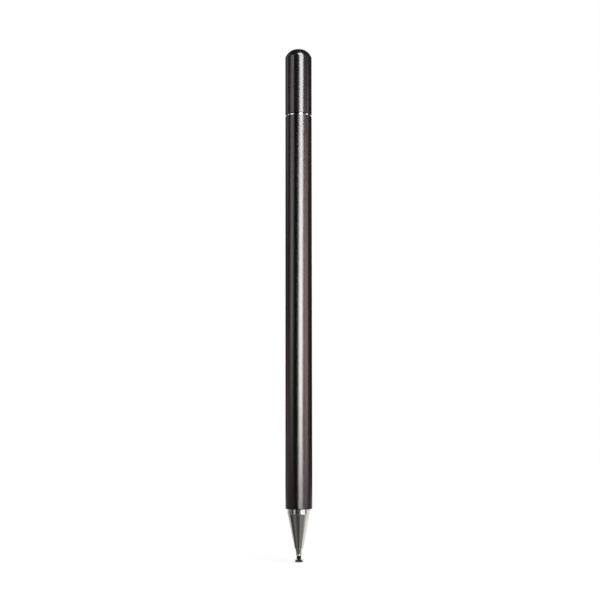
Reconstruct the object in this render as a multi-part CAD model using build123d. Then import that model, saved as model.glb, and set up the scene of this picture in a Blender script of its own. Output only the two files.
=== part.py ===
from build123d import *
from math import cos, isclose, radians, sqrt, tan
import os

# Stylus pen, tip down on the Z axis, with the tip's contact face at height zero. All sizes in mm.

# Barrel
barrel_diameter = 9.0
barrel_length = 132.6
barrel_wall = 1.0
front_rim_round = 0.35
rim_chamfer = 0.25

# Cap, parked on the tail
cap_length = 23.05
cap_wall = 0.57
cap_end_wall = 3.2
dome_height = 3.1
dome_edge_round = 0.4
mouth_lead_in = 0.1
magnet_length = 2.0
magnet_wall = 0.6
liner_wall = 0.5
liner_end = 0.8

# Tail
trim_ring_height = 0.55
trim_ring_recess = 0.42
trim_ring_chamfer = 0.06
tail_spigot_height = 4.0
tail_shank_length = 6.0
tail_lead_in = 0.4
tail_hole_diameter = 3.0
tail_hole_depth = 5.0

# Nose
collar_length = 1.63
collar_step = 0.18
collar_chamfer = 0.12
cone_length = 11.3
cone_tip_diameter = 2.87
cone_tip_chamfer = 0.12
stud_length = 7.5
stud_chamfer = 0.4
stud_undercut_depth = 0.3
stud_undercut_length = 0.7
bush_length = 9.0
bush_wall = 1.0
bush_setback = 0.5
bush_chamfer = 0.3

# Nib holder
nib_length = 2.33
nib_shoulder_diameter = 2.66
nib_waist_diameter = 1.92
nib_bead_diameter = 2.0
nib_bead_height = 0.45
nib_lip = 0.23
nib_shank_diameter = 2.0
nib_shank_length = 3.6

# Ball stem
ball_diameter = 1.1
stem_neck_diameter = 0.46
stem_shaft_diameter = 0.8
stem_head_diameter = 1.5
stem_head_thickness = 0.5

# Disc on its ball socket
tilt_limit = 30.0
disc_diameter = 3.54
disc_thickness = 0.85
disc_rim_chamfer = 0.1
pad_margin = 0.97
pad_thickness = 0.4
hub_floor = 0.48
hub_rise = 0.55
hub_lip = 0.11
hub_boss_diameter = 1.5
hub_undercut_height = 0.2
hub_undercut_wall = 0.1
hub_flange_diameter = 1.74
hub_flange_thickness = 0.12
hub_flare_height = 0.13
hub_to_nib_gap = 0.12

# Fits, as gaps on the radius or along the axis
slip_clearance = 0.06
press_clearance = 0.01
thread_clearance = 0.05
running_clearance = 0.03
ball_clearance = 0.02
swing_clearance = 0.05
magnet_gap = 0.1
head_play = 0.05

# Radii that follow from the sizes
barrel_radius = barrel_diameter / 2
bore_radius = barrel_radius - barrel_wall
cap_bore_radius = barrel_radius - cap_wall
spigot_radius = cap_bore_radius - slip_clearance
trim_ring_radius = barrel_radius - trim_ring_recess
shank_radius = bore_radius - press_clearance
bush_bore_radius = shank_radius - bush_wall
stud_radius = bush_bore_radius - thread_clearance
dome_radius = (barrel_radius**2 + dome_height**2) / (2 * dome_height)
nib_shank_radius = nib_shank_diameter / 2
ball_radius = ball_diameter / 2
socket_radius = ball_radius + ball_clearance
neck_radius = stem_neck_diameter / 2
shaft_radius = stem_shaft_diameter / 2
stem_bore_radius = shaft_radius + running_clearance
head_radius = stem_head_diameter / 2
disc_radius = disc_diameter / 2
pad_radius = disc_radius - pad_margin
boss_radius = hub_boss_diameter / 2
flange_radius = hub_flange_diameter / 2

# The socket opens as a cone that lets the stem's neck swing to the tilt limit
mouth_at_ball = neck_radius / cos(radians(tilt_limit)) + swing_clearance
mouth_at_top = mouth_at_ball + hub_rise * tan(radians(tilt_limit))
hub_top_radius = mouth_at_top + hub_lip
cup_radius = sqrt(hub_top_radius**2 + hub_rise**2) + swing_clearance

# Heights from the tip up
ball_z = pad_thickness + hub_floor + socket_radius
flange_bottom = disc_thickness + hub_undercut_height
flange_top = flange_bottom + hub_flange_thickness
hub_top = ball_z + hub_rise
nib_end = hub_top + hub_to_nib_gap
cone_tip = nib_end + nib_length
collar_bottom = cone_tip + cone_length
barrel_front = collar_bottom + collar_length
barrel_rear = barrel_front + barrel_length
cap_mouth = barrel_rear + trim_ring_height
cap_top = cap_mouth + cap_length
dome_base = cap_top - dome_height
cap_bore_end = cap_top - cap_end_wall
spigot_top = cap_mouth + tail_spigot_height
magnet_bottom = spigot_top + magnet_gap
magnet_top = magnet_bottom + magnet_length
nib_shank_top = cone_tip + nib_shank_length
head_pocket_floor = nib_shank_top - stem_head_thickness - 2 * head_play

# Radii of the ball's hollows where they meet a given height
cup_rim_radius = sqrt(cup_radius**2 - (nib_end - ball_z) ** 2)
undercut_radius = sqrt(socket_radius**2 - (ball_z - flange_bottom) ** 2) + hub_undercut_wall


def turned(*lines):
    """Solid of a closed outline, drawn as (radius, height), turned about the pen's axis."""
    return revolve(Plane.XZ * make_face(lines), Axis.Z)


def ring(inner, outer, bottom, top):
    """Plain tube about the pen's axis."""
    return turned(Polyline((inner, bottom), (outer, bottom), (outer, top), (inner, top), close=True))


def rims(part, radius, height):
    """Round edges of the part with that radius at that height."""
    circles = part.edges().filter_by(GeomType.CIRCLE)
    return [e for e in circles if isclose(e.radius, radius) and isclose(e.arc_center.Z, height)]


def make_barrel():
    tube = ring(bore_radius, barrel_radius, barrel_front, barrel_rear)
    tube = fillet(rims(tube, barrel_radius, barrel_front), front_rim_round)
    return chamfer(rims(tube, barrel_radius, barrel_rear), rim_chamfer)


def make_front_bush():
    bottom = barrel_front + bush_setback
    top = bottom + bush_length
    bush = ring(bush_bore_radius, shank_radius, bottom, top)
    ends = rims(bush, shank_radius, bottom) + rims(bush, shank_radius, top)
    return chamfer(ends + rims(bush, bush_bore_radius, bottom), bush_chamfer)


def make_nose_cone():
    tip_radius = cone_tip_diameter / 2
    groove_radius = stud_radius - stud_undercut_depth
    groove_top = barrel_front + stud_undercut_length
    stud_top = barrel_front + stud_length
    hole_radius = nib_shank_radius + press_clearance
    nose = turned(
        Polyline(
            (0, nib_shank_top),
            (hole_radius, nib_shank_top),
            (hole_radius, cone_tip),
            (tip_radius, cone_tip),
            (spigot_radius - collar_step, collar_bottom),
            (spigot_radius, collar_bottom),
            (spigot_radius, barrel_front),
            (groove_radius, barrel_front),
            (groove_radius, groove_top),
            (stud_radius, groove_top),
            (stud_radius, stud_top),
            (0, stud_top),
            close=True,
        )
    )
    nose = chamfer(rims(nose, tip_radius, cone_tip), cone_tip_chamfer)
    nose = chamfer(rims(nose, spigot_radius, collar_bottom), collar_chamfer)
    return chamfer(rims(nose, stud_radius, stud_top), stud_chamfer)


def make_nib_holder():
    end = (cup_rim_radius + nib_lip, nib_end)
    bead = (nib_bead_diameter / 2, nib_end + nib_bead_height / 2)
    waist = (nib_waist_diameter / 2, nib_end + nib_bead_height)
    shoulder = (nib_shoulder_diameter / 2, cone_tip)
    body = turned(
        Line((0, nib_end), end),
        ThreePointArc(end, bead, waist),
        TangentArc(waist, shoulder, tangent=(0, 1)),
        Polyline(
            shoulder,
            (nib_shank_radius, cone_tip),
            (nib_shank_radius, nib_shank_top),
            (0, nib_shank_top),
            (0, nib_end),
        ),
    )
    cup = Pos(0, 0, ball_z) * Sphere(cup_radius)
    stem_bore = ring(0, stem_bore_radius, ball_z, nib_shank_top)
    head_pocket = ring(0, head_radius + running_clearance, head_pocket_floor, nib_shank_top)
    return body - cup - stem_bore - head_pocket


def make_trim_ring():
    trim = ring(bore_radius, trim_ring_radius, barrel_rear, cap_mouth)
    edges = rims(trim, trim_ring_radius, barrel_rear) + rims(trim, trim_ring_radius, cap_mouth)
    return chamfer(edges, trim_ring_chamfer)


def make_tail_spigot():
    bottom = barrel_rear - tail_shank_length
    plug = ring(0, shank_radius, bottom, cap_mouth) + ring(0, spigot_radius, cap_mouth, spigot_top)
    plug = chamfer(rims(plug, spigot_radius, spigot_top), tail_lead_in)
    plug = chamfer(rims(plug, shank_radius, bottom), tail_lead_in)
    return plug - ring(0, tail_hole_diameter / 2, bottom, bottom + tail_hole_depth)


def make_cap_shell():
    shell = turned(
        Polyline(
            (0, cap_top),
            (0, cap_bore_end),
            (cap_bore_radius, cap_bore_end),
            (cap_bore_radius, cap_mouth),
            (barrel_radius, cap_mouth),
            (barrel_radius, dome_base),
        ),
        RadiusArc((barrel_radius, dome_base), (0, cap_top), -dome_radius),
    )
    shell = fillet(rims(shell, barrel_radius, dome_base), dome_edge_round)
    shell = chamfer(rims(shell, barrel_radius, cap_mouth), rim_chamfer)
    return chamfer(rims(shell, cap_bore_radius, cap_mouth), mouth_lead_in)


def make_cap_magnet():
    outer = cap_bore_radius - press_clearance
    return ring(outer - magnet_wall, outer, magnet_bottom, magnet_top)


def make_cap_liner():
    outer = cap_bore_radius - press_clearance
    cup = ring(0, outer, magnet_top, cap_bore_end)
    return cup - ring(0, outer - liner_wall, magnet_top, cap_bore_end - liner_end)


def make_ball_stem():
    shaft_bottom = ball_z + cup_radius
    head_bottom = head_pocket_floor + head_play
    head_top = head_bottom + stem_head_thickness
    pin = turned(
        Polyline(
            (0, ball_z),
            (neck_radius, ball_z),
            (neck_radius, shaft_bottom),
            (shaft_radius, shaft_bottom + shaft_radius - neck_radius),
            (shaft_radius, head_bottom),
            (head_radius, head_bottom),
            (head_radius, head_top),
            (0, head_top),
            close=True,
        )
    )
    return pin + Pos(0, 0, ball_z) * Sphere(ball_radius)


def make_disc_hub():
    outside = turned(
        Polyline(
            (0, pad_thickness),
            (boss_radius, pad_thickness),
            (boss_radius, disc_thickness),
            (undercut_radius, disc_thickness),
            (undercut_radius, flange_bottom),
            (flange_radius, flange_bottom),
            (flange_radius, flange_top),
            (hub_top_radius, flange_top + hub_flare_height),
            (hub_top_radius, hub_top),
            (0, hub_top),
            close=True,
        )
    )
    socket = Pos(0, 0, ball_z) * Sphere(socket_radius)
    mouth = turned(
        Polyline((0, ball_z), (mouth_at_ball, ball_z), (mouth_at_top, hub_top), (0, hub_top), close=True)
    )
    return outside - socket - mouth


def make_clear_disc():
    hole_radius = boss_radius + press_clearance
    recess_radius = pad_radius + press_clearance
    disc = turned(
        Polyline(
            (recess_radius, 0),
            (disc_radius, 0),
            (disc_radius, disc_thickness),
            (hole_radius, disc_thickness),
            (hole_radius, pad_thickness),
            (recess_radius, pad_thickness),
            close=True,
        )
    )
    rim = rims(disc, disc_radius, 0) + rims(disc, disc_radius, disc_thickness)
    return chamfer(rim, disc_rim_chamfer)


def make_contact_pad():
    return ring(0, pad_radius, 0, pad_thickness)


pieces = {
    "barrel": make_barrel(),
    "front_bush": make_front_bush(),
    "nose_cone": make_nose_cone(),
    "nib_holder": make_nib_holder(),
    "trim_ring": make_trim_ring(),
    "tail_spigot": make_tail_spigot(),
    "cap_shell": make_cap_shell(),
    "cap_magnet": make_cap_magnet(),
    "cap_liner": make_cap_liner(),
    "ball_stem": make_ball_stem(),
    "disc_hub": make_disc_hub(),
    "clear_disc": make_clear_disc(),
    "contact_pad": make_contact_pad(),
}

os.makedirs("parts", exist_ok=True)
for name, shape in pieces.items():
    export_step(shape, f"parts/{name}.step")
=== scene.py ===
import bmesh
import bpy
import math
from mathutils import Euler, Matrix, Vector


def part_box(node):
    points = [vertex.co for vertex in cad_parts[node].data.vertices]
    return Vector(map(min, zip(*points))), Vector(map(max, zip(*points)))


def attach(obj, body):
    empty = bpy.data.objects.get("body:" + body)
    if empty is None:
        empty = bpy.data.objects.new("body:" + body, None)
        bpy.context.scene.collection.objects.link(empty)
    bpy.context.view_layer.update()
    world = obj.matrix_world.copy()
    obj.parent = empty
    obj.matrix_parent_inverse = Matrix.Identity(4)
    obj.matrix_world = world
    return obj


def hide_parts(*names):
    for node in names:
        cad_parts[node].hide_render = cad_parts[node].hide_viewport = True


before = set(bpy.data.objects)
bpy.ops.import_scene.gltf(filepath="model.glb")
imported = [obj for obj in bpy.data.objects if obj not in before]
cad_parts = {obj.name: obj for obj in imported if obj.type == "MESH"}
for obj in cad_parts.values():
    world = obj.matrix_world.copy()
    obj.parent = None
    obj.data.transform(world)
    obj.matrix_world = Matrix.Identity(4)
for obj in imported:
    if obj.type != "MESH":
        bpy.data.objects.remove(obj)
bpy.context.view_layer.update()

# Stylus pen, tip down on the Z axis: turned pieces in place of the CAD nodes, then camera and studio

MM = 0.001

# Sizes read from the frame: outer radius, bottom and top of each piece


def span(node):
    """Outer radius, bottom and top of a CAD node."""
    low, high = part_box(node)
    return min(high.x, high.y, -low.x, -low.y), low.z, high.z


barrel_r, barrel_front, barrel_rear = span("barrel")
bush_r, bush_bottom, bush_top = span("front_bush")
ring_r, ring_bottom, ring_top = span("trim_ring")
spigot_r, spigot_bottom, spigot_top = span("tail_spigot")
cap_r, cap_mouth, cap_top = span("cap_shell")
liner_r, liner_bottom, cap_bore_end = span("cap_liner")
magnet_r, magnet_bottom, magnet_top = span("cap_magnet")
collar_r, cone_tip, stud_top = span("nose_cone")
shoulder_r, nib_end, nib_top = span("nib_holder")
head_r, ball_bottom, head_top = span("ball_stem")
flange_r, hub_bottom, hub_top = span("disc_hub")
disc_r, disc_bottom, disc_top = span("clear_disc")
pad_r, pad_bottom, pad_top = span("contact_pad")

# Gaps and edge rounds

FIT_GAP = 0.01 * MM
BOND = 0.02 * MM
RUNNING_GAP = 0.03 * MM
THREAD_GAP = 0.05 * MM
SEAT_ROUND = 0.015 * MM
FINE_ROUND = 0.04 * MM
SMALL_ROUND = 0.08 * MM
RIM_ROUND = 0.25 * MM
LEAD_IN_ROUND = 0.4 * MM

# Sizes that the frame doesn't give, from the tail to the tip

DOME_HEIGHT = 3.1 * MM
DOME_EDGE_ROUND = 0.4 * MM
MAGNET_WALL = 0.6 * MM
LINER_WALL = 0.5 * MM
LINER_END = 0.8 * MM
TAIL_HOLE_RADIUS = 1.5 * MM
TAIL_HOLE_DEPTH = 5.0 * MM
BUSH_ROUND = 0.3 * MM
COLLAR_LENGTH = 1.63 * MM
COLLAR_STEP = 0.18 * MM
CONE_TIP_RADIUS = 1.435 * MM
STUD_RADIUS = 2.44 * MM
STUD_UNDERCUT_RADIUS = 2.14 * MM
STUD_UNDERCUT_LENGTH = 0.7 * MM
NIB_SHANK_RADIUS = 1.0 * MM
NIB_WAIST_RADIUS = 0.96 * MM
NIB_RIM_RADIUS = 0.938 * MM
BEAD_RADIUS = 1.0 * MM
BEAD_HEIGHT = 0.45 * MM
BEAD_FOOT_SHARE = 0.25
BEAD_TOP_SHARE = 0.9
CUP_RADIUS = 0.974 * MM
STEM_BORE_RADIUS = 0.43 * MM
STEM_NECK_RADIUS = 0.23 * MM
STEM_HEAD_HEIGHT = 0.5 * MM
HEAD_POCKET_DEPTH = 0.6 * MM
BALL_RADIUS = 0.55 * MM
SOCKET_RADIUS = 0.57 * MM
SOCKET_RIM_ANGLE = 31
HUB_TOP_RADIUS = 0.743 * MM
HUB_MOUTH_RADIUS = 0.633 * MM
HUB_UNDERCUT_RADIUS = 0.506 * MM
HUB_UNDERCUT_HEIGHT = 0.2 * MM
HUB_FLANGE_HEIGHT = 0.12 * MM
HUB_FLARE_HEIGHT = 0.13 * MM
HUB_BOSS_RADIUS = 0.75 * MM
DISC_ROUND = 0.06 * MM
collar_bottom = barrel_front - COLLAR_LENGTH

# Meshes: segments round the axis, steps along arcs, and the shading across edges

SEGMENTS = 128
TURN = math.tau / SEGMENTS
ROUND_STEPS = 6
DOME_STEPS = 32
CUP_STEPS = 12
FLARE_STEPS = 16
BALL_STEPS = 24
SHARP_TURN = math.radians(40)
LONG_WALL_POWER = 4

# Turned shapes


def arc(center, radius, start, end, steps):
    """Points on an arc about a (radius, height) center, with the angles in degrees from straight out."""
    angles = [math.radians(start + (end - start) * i / steps) for i in range(steps + 1)]
    return [(center[0] + radius * math.cos(a), center[1] + radius * math.sin(a), 0) for a in angles]


def rounded(corners, closed):
    """Outline through (radius, height, rounding) corners, each rounding a short arc."""
    points = []
    count = len(corners)
    for i, (r, z, rounding) in enumerate(corners):
        here = Vector((r, z))
        if rounding == 0 or (not closed and i in (0, count - 1)):
            points.append(here)
            continue
        before = (Vector(corners[i - 1][:2]) - here).normalized()
        after = (Vector(corners[(i + 1) % count][:2]) - here).normalized()
        half = before.angle(after) / 2
        center = here + (before + after).normalized() * (rounding / math.sin(half))
        start = (here + before * (rounding / math.tan(half)) - center).normalized()
        end = (here + after * (rounding / math.tan(half)) - center).normalized()
        for step in range(ROUND_STEPS + 1):
            points.append(center + start.slerp(end, step / ROUND_STEPS) * rounding)
    return points


def end_tilt(wall, step, tilts, lengths, closed):
    """Shading tilt at the end of a wall that faces its neighbour: arcs run smooth into the longer wall."""
    neighbour = wall + step
    if not closed and not 0 <= neighbour < len(tilts):
        return math.copysign(math.pi / 2, tilts[wall])
    neighbour %= len(tilts)
    turn = math.remainder(tilts[neighbour] - tilts[wall], math.tau)
    if abs(turn) > SHARP_TURN:
        return tilts[wall]
    own, other = (lengths[i] ** LONG_WALL_POWER for i in (wall, neighbour))
    return tilts[wall] + turn * other / (own + other)


def on_circle(radius, step, height):
    """Point of a circle about the pen's axis, that many steps round."""
    return radius * math.cos(step * TURN), radius * math.sin(step * TURN), height


def turned(name, corners, closed=False):
    """Solid of revolution about the pen's axis; an open outline starts and ends on the axis."""
    outline = rounded(corners, closed)
    nexts = outline[1:] + outline[:1]
    side = math.copysign(1, sum(a.cross(b) for a, b in zip(outline, nexts)))
    walls = [(b - a) * side for a, b in zip(outline, nexts)]
    if not closed:
        walls.pop()
    tilts = [math.atan2(-wall.x, wall.y) for wall in walls]
    lengths = [wall.length for wall in walls]

    bm = bmesh.new()
    rings = []
    for p in outline:
        on_axis = p.x < FIT_GAP
        ring = [bm.verts.new(on_circle(p.x, k, p.y)) for k in range(1 if on_axis else SEGMENTS)]
        rings.append(ring * SEGMENTS if on_axis else ring)
    normals = []
    for wall in range(len(walls)):
        low, high = rings[wall], rings[(wall + 1) % len(rings)]
        low_tilt = end_tilt(wall, -1, tilts, lengths, closed)
        high_tilt = end_tilt(wall, 1, tilts, lengths, closed)
        for k in range(SEGMENTS):
            ends = [
                (low, k - 1, low_tilt),
                (low, k, low_tilt),
                (high, k, high_tilt),
                (high, k - 1, high_tilt),
            ]
            # A point on the axis counts once, so faces there are triangles
            shading = {ring[i]: (i, tilt) for ring, i, tilt in ends[::int(side)]}
            bm.faces.new(list(shading)).smooth = True
            normals += [on_circle(math.cos(tilt), i, math.sin(tilt)) for i, tilt in shading.values()]
    mesh = bpy.data.meshes.new(name)
    bm.to_mesh(mesh)
    bm.free()
    mesh.normals_split_custom_set(normals)
    piece = bpy.data.objects.new(name, mesh)
    bpy.context.scene.collection.objects.link(piece)
    return piece


def dress(piece, node, body, material):
    """The piece stands for a CAD node, rides on its body and takes its finish."""
    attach(piece, body)
    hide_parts(node)
    piece.data.materials.append(material)


# Material tools

NOISE_LOW = 0.3
NOISE_HIGH = 0.7


def shader(name):
    """New node material with its node tree, principled shader and object coordinates."""
    material = bpy.data.materials.new(name)
    material.use_nodes = True
    tree = material.node_tree
    principled = tree.nodes["Principled BSDF"]
    place = tree.nodes.new("ShaderNodeTexCoord").outputs["Object"]
    return material, tree, principled, place


def noise(tree, place, size, detail=2.0, stretch=(1, 1, 1)):
    """Noise with features of about that size in metres."""
    mapping = tree.nodes.new("ShaderNodeMapping")
    mapping.inputs["Scale"].default_value = [s / size for s in stretch]
    tree.links.new(place, mapping.inputs["Vector"])
    texture = tree.nodes.new("ShaderNodeTexNoise")
    texture.inputs["Scale"].default_value = 1.0
    texture.inputs["Detail"].default_value = detail
    tree.links.new(mapping.outputs["Vector"], texture.inputs["Vector"])
    return texture.outputs["Fac"]


def spread(tree, value, low, high, start=NOISE_LOW, stop=NOISE_HIGH):
    """Value from start to stop, spread over low to high."""
    ramp = tree.nodes.new("ShaderNodeMapRange")
    ramp.inputs["From Min"].default_value = start
    ramp.inputs["From Max"].default_value = stop
    ramp.inputs["To Min"].default_value = low
    ramp.inputs["To Max"].default_value = high
    tree.links.new(value, ramp.inputs["Value"])
    return ramp.outputs["Result"]


def blend(tree, factor, a, b):
    """Colour from a to b by factor."""
    mix = tree.nodes.new("ShaderNodeMix")
    mix.data_type = "RGBA"
    tree.links.new(factor, mix.inputs["Factor"])
    # Of the node's sockets, inputs 6 and 7 and output 2 are the colours
    mix.inputs[6].default_value = (*a, 1)
    mix.inputs[7].default_value = (*b, 1)
    return mix.outputs[2]


def bump(tree, height, depth):
    """Normal from a height texture, depth in metres."""
    node = tree.nodes.new("ShaderNodeBump")
    node.inputs["Distance"].default_value = depth
    tree.links.new(height, node.inputs["Height"])
    return node.outputs["Normal"]


def height_of(tree, place):
    """Height of a place above the tip."""
    split = tree.nodes.new("ShaderNodeSeparateXYZ")
    tree.links.new(place, split.inputs[0])
    return split.outputs["Z"]


# Materials

SATIN = 0.08


def anodised(name, dark, light, ior, rough, grain_size, grain_depth):
    """Dark anodised metal under its clear oxide: fine blasted grain and uneven gloss."""
    material, tree, principled, place = shader(name)
    principled.inputs["IOR"].default_value = ior
    grain = noise(tree, place, grain_size, detail=3)
    blotch = noise(tree, place, size=6 * MM, detail=4, stretch=(1, 1, 0.3))
    tree.links.new(blend(tree, spread(tree, grain, 0, 1), dark, light), principled.inputs["Base Color"])
    tree.links.new(spread(tree, blotch, *rough), principled.inputs["Roughness"])
    tree.links.new(bump(tree, grain, grain_depth), principled.inputs["Normal"])
    return material


def polished_metal(name, colour, dull, rough, satin_below=None):
    """Plated or turned metal with turning lines and smears, duller below a height if one is given."""
    material, tree, principled, place = shader(name)
    principled.inputs["Metallic"].default_value = 1.0
    lines = noise(tree, place, size=0.05 * MM, detail=2, stretch=(0.02, 0.02, 1))
    smear = noise(tree, place, size=1.5 * MM, detail=4)
    roughness = spread(tree, smear, *rough)
    if satin_below is not None:
        step = spread(tree, height_of(tree, place), SATIN, 0, satin_below - SMALL_ROUND, satin_below)
        total = tree.nodes.new("ShaderNodeMath")
        tree.links.new(roughness, total.inputs[0])
        tree.links.new(step, total.inputs[1])
        roughness = total.outputs[0]
    tree.links.new(blend(tree, spread(tree, smear, 0, 1), colour, dull), principled.inputs["Base Color"])
    tree.links.new(roughness, principled.inputs["Roughness"])
    tree.links.new(bump(tree, lines, depth=0.0002 * MM), principled.inputs["Normal"])
    return material


def moulded_plastic(name, dark, light, rough, ior):
    """Moulded black plastic with a fine spark-eroded grain."""
    material, tree, principled, place = shader(name)
    principled.inputs["IOR"].default_value = ior
    grain = noise(tree, place, size=0.12 * MM, detail=2)
    tree.links.new(blend(tree, spread(tree, grain, 0, 1), dark, light), principled.inputs["Base Color"])
    tree.links.new(spread(tree, grain, *rough), principled.inputs["Roughness"])
    tree.links.new(bump(tree, grain, depth=0.004 * MM), principled.inputs["Normal"])
    return material


def clear_plastic(name, clean, worn, rough, ior):
    """Clear plastic with hairline scratches from the screen."""
    material, tree, principled, place = shader(name)
    principled.inputs["Transmission Weight"].default_value = 1.0
    principled.inputs["IOR"].default_value = ior
    hairs = noise(tree, place, size=0.15 * MM, detail=4, stretch=(1, 0.1, 1))
    tree.links.new(blend(tree, spread(tree, hairs, 0, 1), clean, worn), principled.inputs["Base Color"])
    tree.links.new(spread(tree, hairs, *rough), principled.inputs["Roughness"])
    tree.links.new(bump(tree, hairs, depth=0.0006 * MM), principled.inputs["Normal"])
    return material


barrel_coat = anodised(
    "barrel_coat",
    dark=(0.0012, 0.001, 0.0009),
    light=(0.0024, 0.002, 0.0018),
    ior=1.92,
    rough=(0.16, 0.2),
    grain_size=0.1 * MM,
    grain_depth=0.021 * MM,
)
cap_coat = anodised(
    "cap_coat",
    dark=(0.0012, 0.0012, 0.0013),
    light=(0.002, 0.002, 0.0021),
    ior=1.9,
    rough=(0.19, 0.24),
    grain_size=0.25 * MM,
    grain_depth=0.002 * MM,
)
chrome_look = {"colour": (0.86, 0.86, 0.86), "dull": (0.8, 0.8, 0.8), "rough": (0.05, 0.1)}
chrome = polished_metal("chrome", **chrome_look)
nose_chrome = polished_metal("nose_chrome", **chrome_look, satin_below=collar_bottom)
brass = polished_metal("brass", colour=(0.8, 0.62, 0.32), dull=(0.7, 0.52, 0.26), rough=(0.25, 0.38))
nickel = polished_metal("nickel", colour=(0.72, 0.7, 0.66), dull=(0.64, 0.62, 0.58), rough=(0.16, 0.26))
steel = polished_metal("steel", colour=(0.42, 0.42, 0.43), dull=(0.34, 0.34, 0.35), rough=(0.2, 0.32))
black_plastic = moulded_plastic(
    "black_plastic",
    dark=(0.003, 0.003, 0.003),
    light=(0.006, 0.006, 0.006),
    rough=(0.5, 0.62),
    ior=1.2,
)
matte_liner = moulded_plastic(
    "matte_liner",
    dark=(0.02, 0.02, 0.021),
    light=(0.034, 0.034, 0.035),
    rough=(0.5, 0.65),
    ior=1.5,
)
pad_film = moulded_plastic(
    "pad_film",
    dark=(0.04, 0.04, 0.04),
    light=(0.07, 0.068, 0.066),
    rough=(0.4, 0.55),
    ior=1.4,
)
clear = clear_plastic(
    "clear_disc_plastic",
    clean=(0.97, 0.98, 0.98),
    worn=(0.93, 0.95, 0.95),
    rough=(0.01, 0.06),
    ior=1.58,
)

# Barrel and tail

bore_r = bush_r + FIT_GAP
barrel = turned("barrel_tube", [
    (bore_r, barrel_front, SMALL_ROUND),
    (barrel_r, barrel_front, RIM_ROUND),
    (barrel_r, barrel_rear, RIM_ROUND),
    (bore_r, barrel_rear, SMALL_ROUND),
], closed=True)
dress(barrel, "barrel", "pen", barrel_coat)

bush_bore_r = STUD_RADIUS + THREAD_GAP
bush = turned("threaded_bush", [
    (bush_bore_r, bush_bottom, BUSH_ROUND),
    (bush_r, bush_bottom, BUSH_ROUND),
    (bush_r, bush_top, BUSH_ROUND),
    (bush_bore_r, bush_top, FINE_ROUND),
], closed=True)
dress(bush, "front_bush", "pen", brass)

trim_ring = turned("bright_ring", [
    (bore_r, ring_bottom, 0),
    (ring_r, ring_bottom, SMALL_ROUND),
    (ring_r, ring_top, SMALL_ROUND),
    (bore_r, ring_top, 0),
], closed=True)
dress(trim_ring, "trim_ring", "pen", chrome)

tail_spigot = turned("tail_plug", [
    (0, spigot_bottom + TAIL_HOLE_DEPTH, 0),
    (TAIL_HOLE_RADIUS, spigot_bottom + TAIL_HOLE_DEPTH, 0),
    (TAIL_HOLE_RADIUS, spigot_bottom, SMALL_ROUND),
    (bush_r, spigot_bottom, LEAD_IN_ROUND),
    (bush_r, cap_mouth, 0),
    (spigot_r, cap_mouth, SMALL_ROUND),
    (spigot_r, spigot_top, LEAD_IN_ROUND),
    (0, spigot_top, 0),
])
dress(tail_spigot, "tail_spigot", "pen", chrome)

# Cap

dome_r = (cap_r**2 + DOME_HEIGHT**2) / (2 * DOME_HEIGHT)
dome_center = (0, cap_top - dome_r)
edge_angle = math.degrees(math.asin((dome_r - DOME_HEIGHT) / dome_r))
cap_bore_r = liner_r + FIT_GAP
cap = turned("cap_cup", [
    (0, cap_bore_end, 0),
    (cap_bore_r, cap_bore_end, SMALL_ROUND),
    (cap_bore_r, cap_mouth, SMALL_ROUND),
    (cap_r, cap_mouth, RIM_ROUND),
    (cap_r, cap_top - DOME_HEIGHT, DOME_EDGE_ROUND),
    *arc(dome_center, dome_r, edge_angle, 90, DOME_STEPS)[1:],
])
dress(cap, "cap_shell", "cap", cap_coat)

magnet_bore_r = magnet_r - MAGNET_WALL
magnet = turned("ring_magnet", [
    (magnet_bore_r, magnet_bottom, FINE_ROUND),
    (magnet_r, magnet_bottom, FINE_ROUND),
    (magnet_r, magnet_top, FINE_ROUND),
    (magnet_bore_r, magnet_top, FINE_ROUND),
], closed=True)
dress(magnet, "cap_magnet", "cap", nickel)

liner_bore_r = liner_r - LINER_WALL
liner_floor = cap_bore_end - LINER_END
liner = turned("liner_cup", [
    (0, liner_floor, 0),
    (liner_bore_r, liner_floor, SMALL_ROUND),
    (liner_bore_r, liner_bottom, FINE_ROUND),
    (liner_r, liner_bottom, FINE_ROUND),
    (liner_r, cap_bore_end, FINE_ROUND),
    (0, cap_bore_end, 0),
])
dress(liner, "cap_liner", "cap", matte_liner)

# Nose

undercut_top = barrel_front + STUD_UNDERCUT_LENGTH
nose = turned("nose_cone_turned", [
    (0, nib_top, 0),
    (NIB_SHANK_RADIUS + FIT_GAP, nib_top, 0),
    (NIB_SHANK_RADIUS + FIT_GAP, cone_tip, 0),
    (CONE_TIP_RADIUS, cone_tip, FINE_ROUND),
    (collar_r - COLLAR_STEP, collar_bottom, SMALL_ROUND),
    (collar_r, collar_bottom, SMALL_ROUND),
    (collar_r, barrel_front, SEAT_ROUND),
    (STUD_UNDERCUT_RADIUS, barrel_front, 0),
    (STUD_UNDERCUT_RADIUS, undercut_top, 0),
    (STUD_RADIUS, undercut_top, SMALL_ROUND),
    (STUD_RADIUS, stud_top, LEAD_IN_ROUND),
    (0, stud_top, 0),
])
dress(nose, "nose_cone", "pen", nose_chrome)

# Nib holder: bead, waist and flare outside, spherical cup, stem bore and head pocket inside

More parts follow.
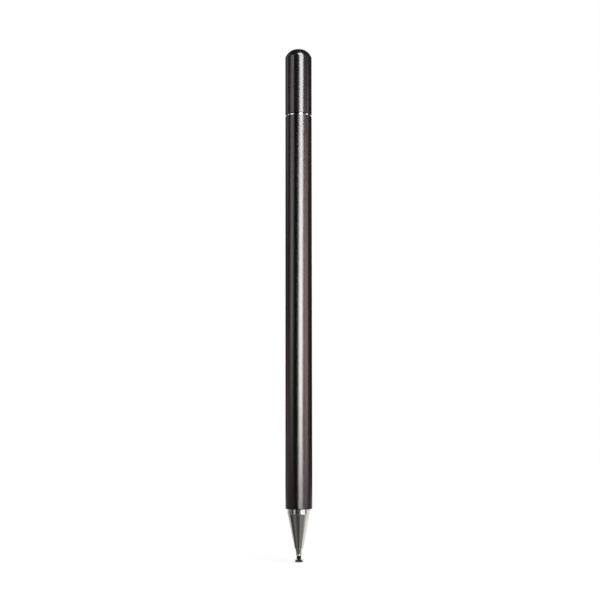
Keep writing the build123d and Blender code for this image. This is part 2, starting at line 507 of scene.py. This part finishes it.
ball_z = ball_bottom + BALL_RADIUS
waist = nib_end + BEAD_HEIGHT
cup_rim = math.degrees(math.asin((nib_end - ball_z) / CUP_RADIUS))
cup_top = math.degrees(math.acos(STEM_BORE_RADIUS / CUP_RADIUS))
flare = shoulder_r - NIB_WAIST_RADIUS
flare_r = (flare**2 + (cone_tip - waist) ** 2) / (2 * flare)
flare_angle = math.degrees(math.asin((cone_tip - waist) / flare_r))
pocket_floor = nib_top - HEAD_POCKET_DEPTH
nib = turned("nib_nozzle", [
    *arc((0, ball_z), CUP_RADIUS, cup_top, cup_rim, CUP_STEPS),
    (NIB_RIM_RADIUS, nib_end, FINE_ROUND),
    (BEAD_RADIUS, nib_end + BEAD_HEIGHT * BEAD_FOOT_SHARE, FINE_ROUND),
    (BEAD_RADIUS, nib_end + BEAD_HEIGHT * BEAD_TOP_SHARE, FINE_ROUND),
    *arc((NIB_WAIST_RADIUS + flare_r, waist), flare_r, 180, 180 - flare_angle, FLARE_STEPS),
    (NIB_SHANK_RADIUS, cone_tip, 0),
    (NIB_SHANK_RADIUS, nib_top, 0),
    (head_r + RUNNING_GAP, nib_top, 0),
    (head_r + RUNNING_GAP, pocket_floor, 0),
    (STEM_BORE_RADIUS, pocket_floor, 0),
], closed=True)
dress(nib, "nib_holder", "pen", nose_chrome)

# Ball stem: ball and neck below, shaft in the nib holder's bore, head in its pocket

neck_angle = math.degrees(math.acos(STEM_NECK_RADIUS / BALL_RADIUS))
shaft_r = STEM_BORE_RADIUS - RUNNING_GAP
shaft_bottom = ball_z + CUP_RADIUS
head_bottom = head_top - STEM_HEAD_HEIGHT
stem = turned("ball_pin", [
    *arc((0, ball_z), BALL_RADIUS, -90, neck_angle, BALL_STEPS),
    (STEM_NECK_RADIUS, shaft_bottom, 0),
    (shaft_r, shaft_bottom + shaft_r - STEM_NECK_RADIUS, 0),
    (shaft_r, head_bottom, 0),
    (head_r, head_bottom, FINE_ROUND),
    (head_r, head_top, FINE_ROUND),
    (0, head_top, 0),
])
dress(stem, "ball_stem", "tip_stem", steel)

# Tip: hub with its ball socket, clear disc and pad

boss_top = disc_top + FIT_GAP
flange_bottom = disc_top + HUB_UNDERCUT_HEIGHT
flange_top = flange_bottom + HUB_FLANGE_HEIGHT
hub = turned("ball_socket_hub", [
    *arc((0, ball_z), SOCKET_RADIUS, -90, SOCKET_RIM_ANGLE, BALL_STEPS),
    (HUB_MOUTH_RADIUS, hub_top, 0),
    (HUB_TOP_RADIUS, hub_top, FINE_ROUND),
    (HUB_TOP_RADIUS, flange_top + HUB_FLARE_HEIGHT, HUB_FLARE_HEIGHT),
    (flange_r, flange_top, FINE_ROUND),
    (flange_r, flange_bottom, FINE_ROUND),
    (HUB_UNDERCUT_RADIUS, flange_bottom, 0),
    (HUB_UNDERCUT_RADIUS, boss_top, 0),
    (HUB_BOSS_RADIUS, boss_top, 0),
    (HUB_BOSS_RADIUS, hub_bottom, 0),
    (0, hub_bottom, 0),
])
dress(hub, "disc_hub", "tip_disc", black_plastic)

disc = turned("clear_tip_disc", [
    (pad_r - BOND, disc_bottom, 0),
    (disc_r, disc_bottom, DISC_ROUND),
    (disc_r, disc_top, DISC_ROUND),
    (HUB_BOSS_RADIUS - BOND, disc_top, 0),
    (HUB_BOSS_RADIUS - BOND, pad_top - BOND, 0),
    (pad_r - BOND, pad_top - BOND, 0),
], closed=True)
dress(disc, "clear_disc", "tip_disc", clear)

pad = turned("dark_contact_pad", [
    (0, pad_bottom, 0),
    (pad_r, pad_bottom, FINE_ROUND),
    (pad_r, pad_top, FINE_ROUND),
    (0, pad_top, 0),
])
dress(pad, "contact_pad", "tip_disc", pad_film)

# Camera

IMAGE_SIDE = 600
FOCAL_PIXELS = 1359
CAMERA_DISTANCE = 0.4563
CAMERA_HEIGHT = 0.0445
CAMERA_PITCH = math.radians(5.34)
CAMERA_YAW = math.radians(-0.056)
CAMERA_ROLL = math.radians(-0.06)
camera = bpy.data.objects.new("camera", bpy.data.cameras.new("camera"))
camera.data.lens = camera.data.sensor_width * FOCAL_PIXELS / IMAGE_SIDE
camera.location = (0, -CAMERA_DISTANCE, CAMERA_HEIGHT)
aim = Euler((math.pi / 2 + CAMERA_PITCH, 0, CAMERA_YAW)).to_matrix()
camera.rotation_euler = (aim @ Matrix.Rotation(CAMERA_ROLL, 3, "Z")).to_euler()
bpy.context.scene.collection.objects.link(camera)
bpy.context.scene.camera = camera

# Stage tools: azimuths are in degrees to the right of the camera's side, as seen from the pen

WHITE = (1, 1, 1)
CARD_STEP = 5
FEWEST_STEPS = 4


def around(azimuth, distance, height):
    """Point at an azimuth and distance from the pen's axis."""
    a = math.radians(azimuth)
    return Vector((distance * math.sin(a), -distance * math.cos(a), height))


def bare_tree(owner):
    """Emptied node tree of a material or world."""
    owner.use_nodes = True
    owner.node_tree.nodes.clear()
    return owner.node_tree


def glow(name, strength, colour=WHITE):
    """Plain emitter."""
    material = bpy.data.materials.new(name)
    tree = bare_tree(material)
    emission = tree.nodes.new("ShaderNodeEmission")
    emission.inputs["Color"].default_value = (*colour, 1)
    emission.inputs["Strength"].default_value = strength
    output = tree.nodes.new("ShaderNodeOutputMaterial")
    tree.links.new(emission.outputs[0], output.inputs["Surface"])
    return material


def staged(name, rails, material):
    """Stage sheet stretched over rails of points."""
    mesh = bpy.data.meshes.new(name)
    points = [p for rail in rails for p in rail]
    width = len(rails[0])
    starts = [r * width + i for r in range(len(rails) - 1) for i in range(width - 1)]
    mesh.from_pydata(points, [], [(i, i + 1, i + 1 + width, i + width) for i in starts])
    mesh.materials.append(material)
    sheet = bpy.data.objects.new(name, mesh)
    bpy.context.scene.collection.objects.link(sheet)
    return sheet


def only_in_reflections(sheet):
    """The sheet lights nothing and shows only in gloss."""
    sheet.visible_camera = False
    sheet.visible_diffuse = False
    sheet.visible_transmission = False
    sheet.visible_shadow = False


def card(name, azimuths, distances, heights, strength, colour=WHITE, lean=0):
    """Curved card that only shows in reflections; lean turns its top by that many degrees."""
    steps = max(FEWEST_STEPS, round((azimuths[1] - azimuths[0]) / CARD_STEP))
    turns = [azimuths[0] + (azimuths[1] - azimuths[0]) * i / steps for i in range(steps + 1)]
    low = [around(a, distances[0], heights[0]) for a in turns]
    high = [around(a + lean, distances[1], heights[1]) for a in turns]
    only_in_reflections(staged(name, [low, high], glow(name, strength, colour)))


def upright(name, azimuths, distance, heights, strength, colour=WHITE, lean=0):
    """Card standing round the pen."""
    card(name, azimuths, (distance, distance), heights, strength, colour, lean)


def level(name, azimuths, distances, height, strength, colour=WHITE):
    """Card lying round the pen."""
    card(name, azimuths, distances, (height, height), strength, colour)


def shown_white(tree, plain, white, output, share=1.0):
    """Camera, glossy and transmission rays get that share of white, all others the plain shader."""
    path = tree.nodes.new("ShaderNodeLightPath")
    total = path.outputs["Is Camera Ray"]
    for key in ("Is Glossy Ray", "Is Transmission Ray"):
        add = tree.nodes.new("ShaderNodeMath")
        add.use_clamp = True
        tree.links.new(total, add.inputs[0])
        tree.links.new(path.outputs[key], add.inputs[1])
        total = add.outputs[0]
    part = tree.nodes.new("ShaderNodeMath")
    part.operation = "MULTIPLY"
    part.inputs[1].default_value = share
    tree.links.new(total, part.inputs[0])
    mix = tree.nodes.new("ShaderNodeMixShader")
    tree.links.new(part.outputs[0], mix.inputs["Fac"])
    tree.links.new(plain.outputs[0], mix.inputs[1])
    tree.links.new(white.outputs[0], mix.inputs[2])
    tree.links.new(mix.outputs[0], tree.nodes.new(output).inputs["Surface"])


# Floor: pale paint below the tilted disc's reach, shown almost white so that only a faint shadow stays

FLOOR_DROP = 0.75 * MM
FLOOR_HALF = 0.12
FLOOR_PAINT = (0.9, 0.9, 0.9)
FLOOR_SHINE = 1.15
SHADOW_SHARE = 0.3
floor_white = bpy.data.materials.new("floor_white")
floor_tree = bare_tree(floor_white)
paint = floor_tree.nodes.new("ShaderNodeBsdfDiffuse")
paint.inputs["Color"].default_value = (*FLOOR_PAINT, 1)
shine = floor_tree.nodes.new("ShaderNodeEmission")
shine.inputs["Strength"].default_value = FLOOR_SHINE
shown_white(floor_tree, paint, shine, "ShaderNodeOutputMaterial", 1 - SHADOW_SHARE)
floor_ends = (-FLOOR_HALF, FLOOR_HALF)
staged("floor", [[(x, y, -FLOOR_DROP) for x in floor_ends] for y in floor_ends], floor_white)

# Key light: a plain area lamp right of the camera

KEY_AZIMUTH = 26
LAMP_DISTANCE = 0.45
LAMP_HEIGHT = 0.4
LAMP_AIM = Vector((0, 0, 0.09))
LAMP_WIDTH = 0.3
LAMP_LENGTH = 0.6
LAMP_POWER = 2.4
lamp = bpy.data.objects.new("soft_key", bpy.data.lights.new("soft_key", "AREA"))
lamp.data.shape = "RECTANGLE"
lamp.data.size = LAMP_WIDTH
lamp.data.size_y = LAMP_LENGTH
lamp.data.energy = LAMP_POWER
lamp.location = around(KEY_AZIMUTH, LAMP_DISTANCE, LAMP_HEIGHT)
lamp.rotation_euler = (LAMP_AIM - lamp.location).to_track_quat("-Z", "Y").to_euler()
lamp.visible_glossy = False
bpy.context.scene.collection.objects.link(lamp)

# The lamp's softbox as the gloss shows it: a strip, warmer at its foot, that rises and arches over the pen

KEY_LEAN = 14
KEY_DISTANCE = 0.5
KEY_WIDTH = 0.285
KEY_FOOT = 0.01
KEY_RISE = 0.3
KEY_REACH = 68
KEY_STEPS = 24
KEY_STRENGTH = 11
KEY_LOW = (1, 0.945, 0.89)
KEY_HIGH = (0.78, 0.77, 0.785)
half_strip = around(KEY_AZIMUTH + 90, KEY_WIDTH / 2, 0)
strip = [around(KEY_AZIMUTH - KEY_LEAN, KEY_DISTANCE, KEY_FOOT)]
for i in range(KEY_STEPS + 1):
    a = math.radians(KEY_REACH * i / KEY_STEPS)
    strip.append(around(KEY_AZIMUTH, KEY_DISTANCE * math.cos(a), KEY_RISE + KEY_DISTANCE * math.sin(a)))
softbox = glow("softbox", KEY_STRENGTH)
softbox_tree = softbox.node_tree
softbox_place = softbox_tree.nodes.new("ShaderNodeTexCoord").outputs["Object"]
rise = spread(softbox_tree, height_of(softbox_tree, softbox_place), 0, 1, KEY_FOOT, KEY_RISE)
tint = blend(softbox_tree, rise, KEY_LOW, KEY_HIGH)
softbox_tree.links.new(tint, softbox_tree.nodes["Emission"].inputs["Color"])
only_in_reflections(staged("softbox_arch", [[p - half_strip, p + half_strip] for p in strip], softbox))

# Dark tent round the set

ALL_ROUND = (-180, 180)
TENT = 0.04
BLACK = 0.005
TENT_DISTANCE = 0.62
TENT_TOP = 0.8
ROOF_TOP = 1.1
ROOF_VENT = 0.01
upright("tent_wall", ALL_ROUND, TENT_DISTANCE, (0, TENT_TOP), TENT)
card("tent_roof", ALL_ROUND, (TENT_DISTANCE, ROOF_VENT), (TENT_TOP, ROOF_TOP), TENT)

# Standing cards in the tent

WARM = (1, 0.7, 0.72)
BROWN = (1, 0.78, 0.75)
RUST = (1, 0.62, 0.6)
COOL = (0.97, 0.97, 1.03)
SIDE_DISTANCE = 0.6
BLACK_DISTANCE = 0.58
CARD_DISTANCE = 0.5
BACK_DISTANCE = 0.1
BACK_HEIGHTS = (0.004, 0.016)
CARD_FOOT = 0.012
LOW_SEAM = 0.08
LEFT_SEAM = 0.3
FAR_LEFT_SEAM = 0.21
RIGHT_SEAM = 0.24
RIGHT_TOP_SEAM = 0.27
FAR_LEFT = (-128, -104)
RIGHT_SIDE = (52, 95)
upright("side_left", (-140, -60), SIDE_DISTANCE, (0, TENT_TOP), 0.12, RUST)
upright("side_right", (88, 140), SIDE_DISTANCE, (0, TENT_TOP), 0.11, WARM)
upright("card_black", (-44, 0), BLACK_DISTANCE, (0, TENT_TOP), BLACK)
upright("card_left_low", (-104, -48), CARD_DISTANCE, (CARD_FOOT, LOW_SEAM), 0.3, BROWN)
upright("card_left", (-78, -54), CARD_DISTANCE, (LOW_SEAM, LEFT_SEAM), 1.35, lean=13)
upright("card_left_high", (-65, -41), CARD_DISTANCE, (LEFT_SEAM, 0.9), 1.35, COOL)
upright("card_far_left_low", FAR_LEFT, CARD_DISTANCE, (CARD_FOOT, LOW_SEAM), 0.5, RUST)
upright("card_far_left", FAR_LEFT, CARD_DISTANCE, (LOW_SEAM, FAR_LEFT_SEAM), 0.22, RUST)
upright("card_far_left_high", FAR_LEFT, CARD_DISTANCE, (FAR_LEFT_SEAM, 0.7), 0.52)
upright("card_right", (46, 86), CARD_DISTANCE, (CARD_FOOT, RIGHT_SEAM), 1.85, WARM)
upright("card_right_high", RIGHT_SIDE, CARD_DISTANCE, (RIGHT_SEAM, RIGHT_TOP_SEAM), 0.56, BROWN)
upright("card_right_top", RIGHT_SIDE, CARD_DISTANCE, (RIGHT_TOP_SEAM, TENT_TOP), 0.24, BROWN)
upright("card_back", (150, 210), BACK_DISTANCE, BACK_HEIGHTS, 1.0)
upright("card_behind", (170, 190), CARD_DISTANCE, (0.02, TENT_TOP), 1.2)

# Narrow strips at the height that the bright ring mirrors

RING_DISTANCE = 0.49
RING_HEIGHTS = (0.258, 0.274)
upright("ring_left", (-82, -56), RING_DISTANCE, RING_HEIGHTS, 1.2)
upright("ring_dark_left", (-56, 18), RING_DISTANCE, RING_HEIGHTS, BLACK)
upright("ring_dark_right", (32, 80), RING_DISTANCE, RING_HEIGHTS, BLACK)
upright("ring_right", (80, 100), RING_DISTANCE, RING_HEIGHTS, 1.6)

# Cards level with the tip, in rings that the barrel's foot, the collar and the cone mirror

NEAR_EDGE = 0.06
DARK_EDGE = 0.24
COLLAR_EDGE = 0.3
NEAR_RING = (0.004, NEAR_EDGE)
DARK_RING = (NEAR_EDGE, DARK_EDGE)
DARK_RING_CUT = (NEAR_EDGE, 0.15)
COLLAR_RING = (DARK_EDGE, COLLAR_EDGE)
FAR_RING = (COLLAR_EDGE, TENT_DISTANCE)
AT_TIP = 0
OVER_RING = 0.1 * MM
GREY = (1, 0.97, 0.92)
level("floor_far", ALL_ROUND, FAR_RING, AT_TIP, 0.03)
level("floor_far_left", (-130, -80), FAR_RING, OVER_RING, 0.5, BROWN)
level("floor_far_front", (-58, 30), FAR_RING, OVER_RING, BLACK)
level("floor_far_right", (40, 85), FAR_RING, OVER_RING, 0.5, WARM)
level("floor_back_left", (-180, -125), DARK_RING, AT_TIP, 0.5)
level("floor_dark_left", (-125, 18), DARK_RING, AT_TIP, TENT)
level("floor_dark_front", (18, 62), DARK_RING_CUT, AT_TIP, TENT)
level("floor_dark_right", (62, 120), DARK_RING, AT_TIP, TENT)
level("floor_collar_back_left", (-180, -112), COLLAR_RING, AT_TIP, 0.45)
level("floor_collar_left", (-112, -55), COLLAR_RING, AT_TIP, 0.1)
level("floor_collar_streak", (-55, -34), COLLAR_RING, AT_TIP, 0.9, GREY)
level("floor_collar_front", (-34, 18), COLLAR_RING, AT_TIP, 0.06)
level("floor_collar_bright", (18, 62), COLLAR_RING, AT_TIP, 1.65)
level("floor_collar_side", (62, 84), COLLAR_RING, AT_TIP, 0.32)
level("floor_near_back_left", (-180, -112), NEAR_RING, AT_TIP, 0.6, GREY)
level("floor_near_left", (-112, 9), NEAR_RING, AT_TIP, 0.05, GREY)
level("floor_near_streak", (-66, -30), NEAR_RING, OVER_RING, 0.13, GREY)
level("floor_near_right", (9, 62), NEAR_RING, AT_TIP, 0.2, GREY)
level("floor_near_side", (62, 82), NEAR_RING, AT_TIP, 0.4, GREY)
level("floor_near_back_right", (82, 180), NEAR_RING, AT_TIP, 0.85, GREY)

# World: soft grey fill, white where it is seen

FILL = 0.5
world = bpy.data.worlds.new("studio")
bpy.context.scene.world = world
world_tree = bare_tree(world)
fill = world_tree.nodes.new("ShaderNodeBackground")
fill.inputs["Color"].default_value = (*WHITE, 1)
fill.inputs["Strength"].default_value = FILL
white = world_tree.nodes.new("ShaderNodeBackground")
white.inputs["Color"].default_value = (*WHITE, 1)
shown_white(world_tree, fill, white, "ShaderNodeOutputWorld")

bpy.context.scene.view_settings.view_transform = "Standard"
